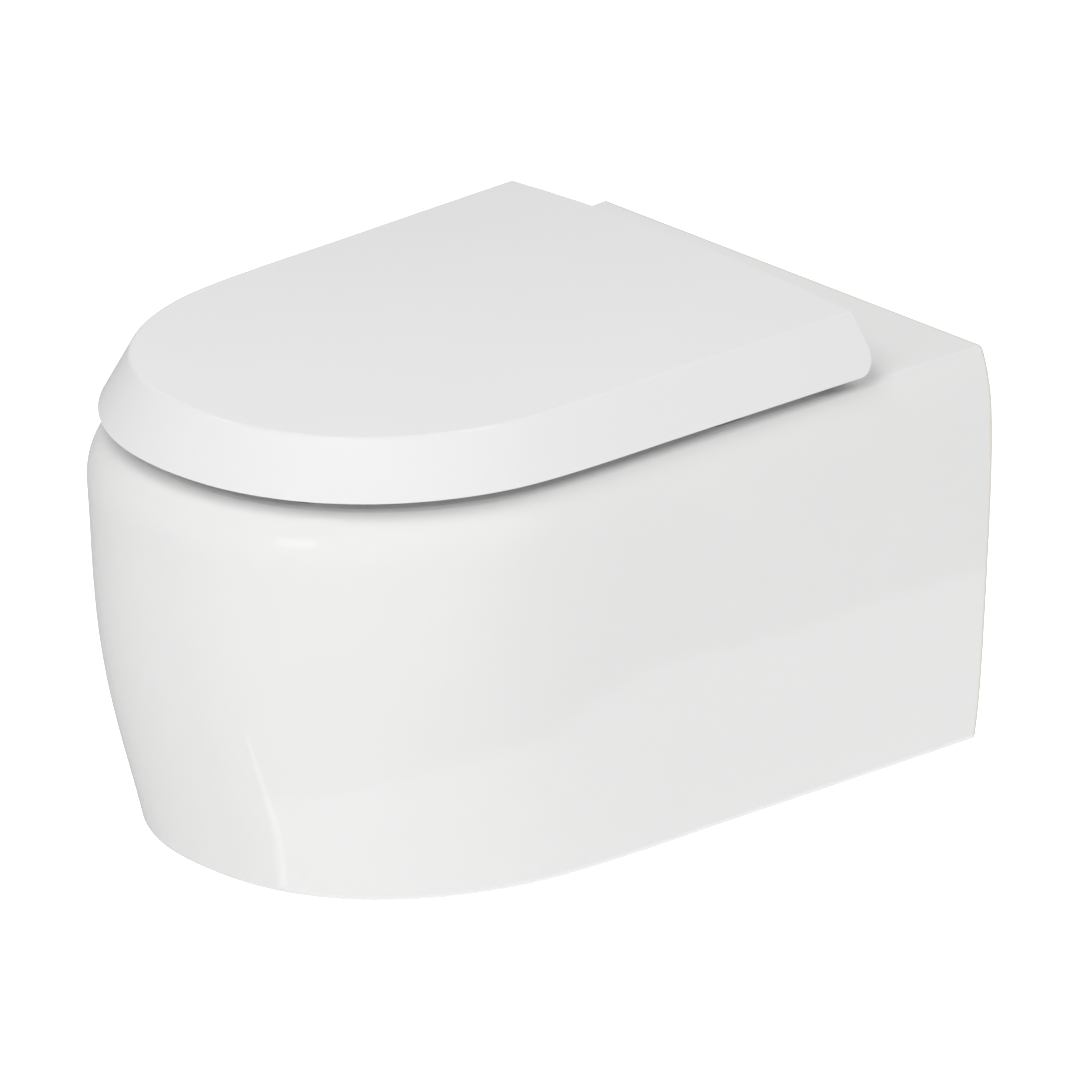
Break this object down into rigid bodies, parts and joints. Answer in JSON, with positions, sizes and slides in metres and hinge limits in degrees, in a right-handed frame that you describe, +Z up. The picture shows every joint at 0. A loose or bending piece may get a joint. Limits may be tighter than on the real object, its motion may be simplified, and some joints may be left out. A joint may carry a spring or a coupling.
{
  "type": "wall hung toilet",
  "caption": "Wall hung toilet with a skirted ceramic pan, rimless bowl and trap, and a soft-close seat under a wrap-over lid on lift-off hinges.",
  "frame": {"origin": "midway between the two wall studs, on the wall plane", "axes": "+X across the width, +Y into the wall along the studs, +Z up; the pan reaches out along -Y"},
  "size_m": [0.3678, 0.5858, 0.3199],
  "materials": {
    "glazed_ceramic": "gloss",
    "seat_duroplast": "gloss",
    "white_plastic": "satin",
    "grey_plastic": "satin",
    "damper_plastic": "satin",
    "soft_rubber": "matte",
    "black_rubber": "matte",
    "zinc_steel": "satin",
    "stainless_steel": "satin",
    "polished_chrome": "polished",
    "brass_nut": "satin"
  },
  "bodies": {
    "pan": {"ceramic_pan": "glazed_ceramic", "wall_studs": "zinc_steel", "stud_sleeves": "white_plastic", "stud_washers": "zinc_steel", "stud_nuts": "zinc_steel", "flush_inlet_seal": "black_rubber", "hinge_bolts": "stainless_steel", "expansion_plugs": "black_rubber", "cone_nuts": "brass_nut", "mounting_disc_left": "polished_chrome", "mounting_disc_right": "polished_chrome"},
    "hinges": {"hinge_block_left": "white_plastic", "hinge_block_right": "white_plastic", "hinge_pin_left": "stainless_steel", "hinge_pin_right": "stainless_steel", "latch_clips": "stainless_steel"},
    "button_left": {"release_button_left": "grey_plastic"},
    "button_right": {"release_button_right": "grey_plastic"},
    "seat": {"seat_ring": "seat_duroplast", "seat_buffers": "soft_rubber", "seat_damper": "damper_plastic", "seat_bush": "grey_plastic"},
    "lid": {"lid_shell": "seat_duroplast", "lid_buffers": "soft_rubber", "lid_damper": "damper_plastic", "lid_bush": "grey_plastic"}
  },
  "joints": [
    {"name": "seat_lift", "type": "slide", "parent": "pan", "child": "hinges", "axis": [0, 0, 1], "range_m": [0, 0.012], "deforming": ["latch_clips"]},
    {"name": "button_press_left", "type": "slide", "parent": "hinges", "child": "button_left", "axis": [0, -1, 0], "range_m": [0, 0.002], "stiffness_N_per_m": 500, "springref_m": -0.003},
    {"name": "button_press_right", "type": "slide", "parent": "hinges", "child": "button_right", "axis": [0, -1, 0], "range_m": [0, 0.002], "stiffness_N_per_m": 500, "springref_m": -0.003},
    {"name": "seat_hinge", "type": "hinge", "parent": "hinges", "child": "seat", "pos_m": [0, -0.108, 0.097], "axis": [-1, 0, 0], "range_deg": [0, 95]},
    {"name": "lid_hinge", "type": "hinge", "parent": "seat", "child": "lid", "pos_m": [0, -0.108, 0.097], "axis": [1, 0, 0], "range_deg": [-98, 0]}
  ]
}
